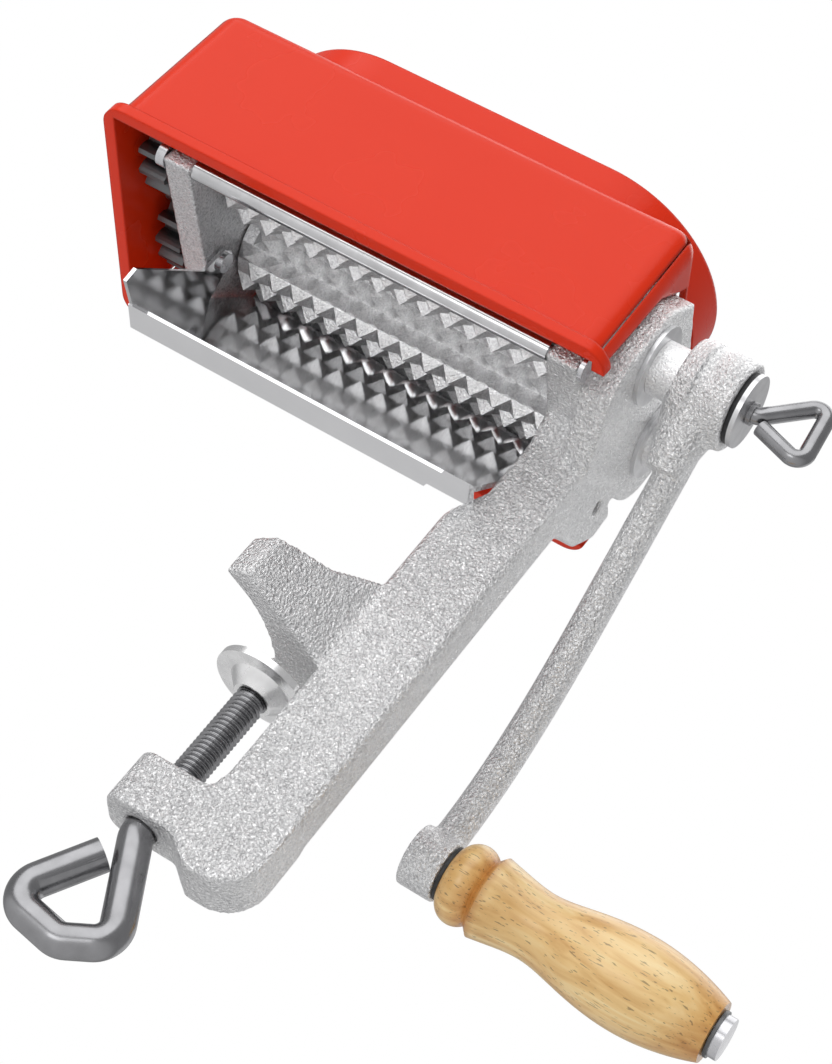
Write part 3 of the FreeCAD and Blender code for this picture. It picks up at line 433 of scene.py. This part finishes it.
# Clamp screw. An M8 steel bar with a rolled thread, its lower end bent into an open eye. It
# screws through the lower jaw.
def threaded_screw():
    """The bent eye from the solid, with a helical thread in place of the plain stem. The ends
    of the thread run into plain collars."""
    mesh = merged_copy("clamp_screw")
    bm = bmesh.new()
    bm.from_mesh(mesh)
    low, high, eye_top = -51.4 * MM, -12.4 * MM, -45 * MM
    pitch, crest, root = 1.25 * MM, 3.98 * MM, 3.38 * MM
    stem = [f for f in bm.faces if abs(f.normal.z) < 0.05
            and max(v.co.z for v in f.verts) > high - 1 * MM
            and min(v.co.z for v in f.verts) < eye_top]
    bmesh.ops.delete(bm, geom=stem, context="FACES")
    turns, steps = int((high - low) / pitch) - 1, 28
    outline = ((root, 0.0), (root, 0.12), (crest, 0.48), (crest, 0.58), (root, 0.94), (root, 1.0))
    profile = [bm.verts.new((r, 0, low + h * pitch)) for r, h in outline]
    edges = [bm.edges.new(pair) for pair in zip(profile, profile[1:])]
    bmesh.ops.spin(bm, geom=profile + edges, axis=(0, 0, 1), cent=(0, 0, 0),
                   dvec=(0, 0, pitch / steps), angle=math.tau * turns, steps=steps * turns)
    bmesh.ops.remove_doubles(bm, verts=bm.verts, dist=MERGE)
    collar_radius = root + 0.1 * MM
    for base, top in ((low - 3 * MM, low + 1.5 * MM), (high - 2.6 * MM, high)):
        collar = bmesh.ops.create_cone(bm, cap_ends=True, segments=ROUND_SIDES,
                                       radius1=collar_radius, radius2=collar_radius,
                                       depth=top - base)
        bmesh.ops.translate(bm, verts=collar["verts"], vec=(0, 0, (base + top) / 2))
    bmesh.ops.recalc_face_normals(bm, faces=bm.faces)
    bm.to_mesh(mesh)
    bm.free()
    return mesh


piece("clamp_screw_bar", threaded_screw(), "screw", bright_steel, "polished_steel", "clamp_screw")


# Floor, light and camera. A plain pale floor well under the hanging object, and large soft
# lamps round it.
FLOOR_HALF_SIZE, FLOOR_HEIGHT = 4.0, -0.5
bm = bmesh.new()
bmesh.ops.create_grid(bm, x_segments=1, y_segments=1, size=FLOOR_HALF_SIZE)
bmesh.ops.translate(bm, verts=bm.verts, vec=(0, 0, FLOOR_HEIGHT))
mesh = bpy.data.meshes.new("floor")
bm.to_mesh(mesh)
bm.free()
pale, _, _, shader = new_material("pale floor")
shader.inputs["Base Color"].default_value = (0.86, 0.86, 0.86, 1.0)
shader.inputs["Roughness"].default_value = 0.8
mesh.materials.append(pale)
floor = bpy.data.objects.new("floor", mesh)
bpy.context.scene.collection.objects.link(floor)


def softbox(name, place, aim, size, power):
    """A large square soft light pointed at a place on the object, itself out of sight."""
    data = bpy.data.lights.new(name, "AREA")
    data.shape, data.size, data.energy = "SQUARE", size, power
    lamp = bpy.data.objects.new(name, data)
    bpy.context.scene.collection.objects.link(lamp)
    lamp.location = place
    lamp.rotation_euler = (Vector(aim) - Vector(place)).to_track_quat("-Z", "Y").to_euler()
    lamp.visible_camera = False


CENTRE = (0.0, 0.0, 0.03)
softbox("front_left", (-0.55, -1.20, 0.75), CENTRE, size=2.0, power=19.0)
softbox("low_front", (-0.15, -0.75, -0.42), CENTRE, size=0.4, power=1.0)
softbox("overhead", (0.0, 0.3, 1.4), CENTRE, size=1.4, power=8.0)
softbox("rear", (0.6, 1.1, 0.35), CENTRE, size=1.0, power=1.6)

# World. A soft grey light all round the object. Where the camera looks straight at it, it is
# plain white.
world = bpy.data.worlds.new("studio")
bpy.context.scene.world = world
world.use_nodes = True
tree = world.node_tree
back = tree.nodes["Background"]
back.inputs["Color"].default_value = (0.80, 0.80, 0.81, 1.0)
back.inputs["Strength"].default_value = 0.5
seen = tree.nodes.new("ShaderNodeBackground")
seen.inputs["Color"].default_value = (1.0, 1.0, 1.0, 1.0)
ray = tree.nodes.new("ShaderNodeLightPath")
blend = tree.nodes.new("ShaderNodeMixShader")
tree.links.new(ray.outputs["Is Camera Ray"], blend.inputs["Fac"])
tree.links.new(back.outputs["Background"], blend.inputs[1])
tree.links.new(seen.outputs["Background"], blend.inputs[2])
tree.links.new(blend.outputs["Shader"], tree.nodes["World Output"].inputs["Surface"])

# Camera. It stands in front, to the right and low, looks up at the near side, and is rolled
# so that the arm runs slantwise.
lens = bpy.data.cameras.new("camera")
lens.sensor_width, lens.lens = 36.0, 87.97
lens.clip_start, lens.clip_end = 0.01, 20.0
camera = bpy.data.objects.new("camera", lens)
bpy.context.scene.collection.objects.link(camera)
right, up, away = (0.8292, -0.0163, 0.5587), (-0.4557, -0.5986, 0.6588), (0.3237, -0.8009, -0.5037)
turn = Matrix((right, up, away)).transposed().to_4x4()
camera.matrix_world = Matrix.Translation((0.2025, -0.4911, -0.2609)) @ turn
bpy.context.scene.camera = camera
bpy.context.scene.view_settings.view_transform = "Standard"
